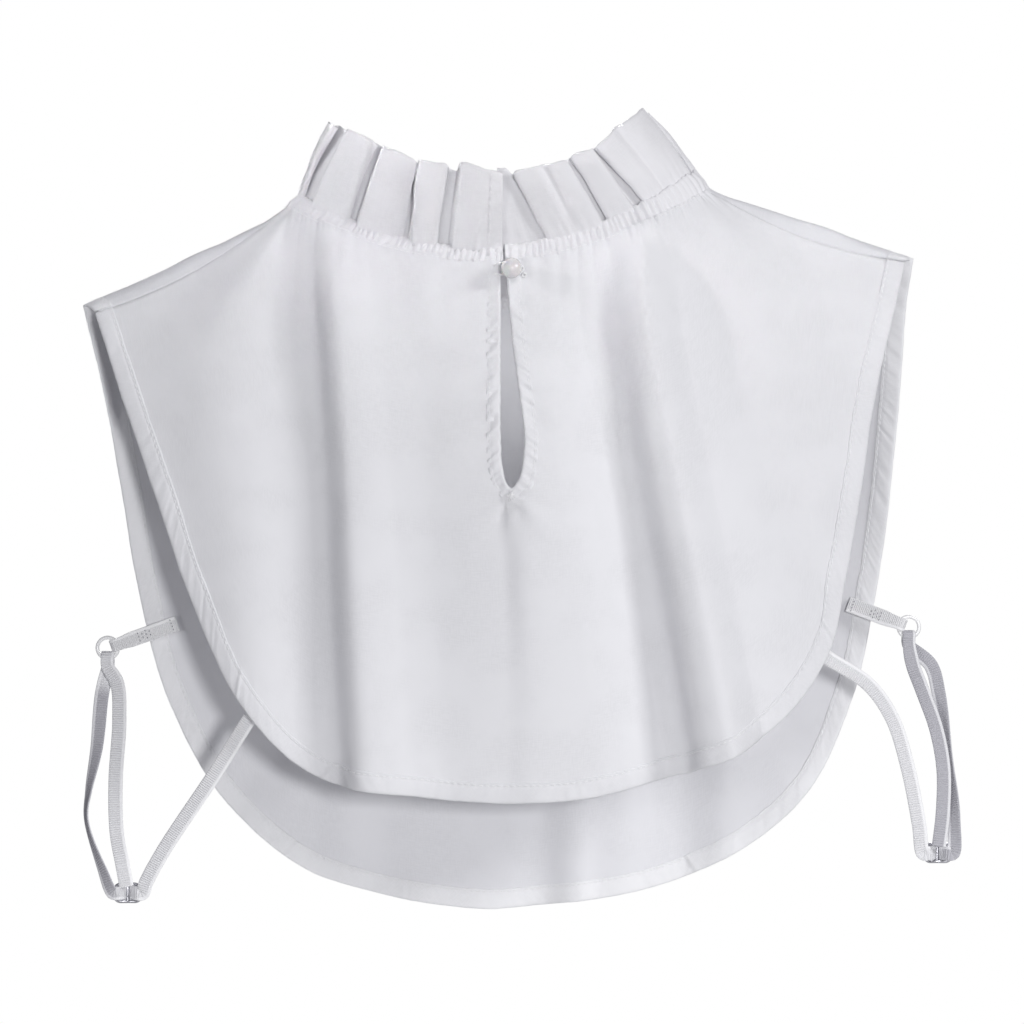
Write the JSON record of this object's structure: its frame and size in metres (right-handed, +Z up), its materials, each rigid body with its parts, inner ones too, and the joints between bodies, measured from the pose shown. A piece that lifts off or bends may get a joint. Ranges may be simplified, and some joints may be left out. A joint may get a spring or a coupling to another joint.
{
  "type": "ruffle collar",
  "caption": "False collar of white cotton with a pleated stand-up ruffle, bound bib panels, a keyhole slit with a pearl button, and elastic side straps with rings and sliders.",
  "frame": {"origin": "middle of the neck opening, at the height of the shoulders beside the neck", "axes": "+X to the wearer's right, which is the right in a view of the back, +Y from the back to the front, +Z up"},
  "size_m": [0.3759, 0.0937, 0.3437],
  "materials": {
    "cotton": "plain weave cotton",
    "stand_cotton": "plain weave cotton",
    "elastic": "ribbed elastic",
    "coated_ring": "smooth white coating",
    "slider_metal": "polished",
    "pearl": "pearl lustre"
  },
  "bodies": {
    "root": {"back_panel": "cotton", "back_binding": "cotton", "front_panel": "cotton", "front_binding": "cotton", "neck_band": "stand_cotton", "ruffle": "stand_cotton", "keyhole_binding": "cotton", "pearl_button": "pearl", "button_loop": "cotton", "tab_left": "elastic", "ring_left": "coated_ring", "strap_left": "elastic", "slider_left": "slider_metal", "tab_right": "elastic", "ring_right": "coated_ring", "strap_right": "elastic", "slider_right": "slider_metal"}
  },
  "joints": []
}
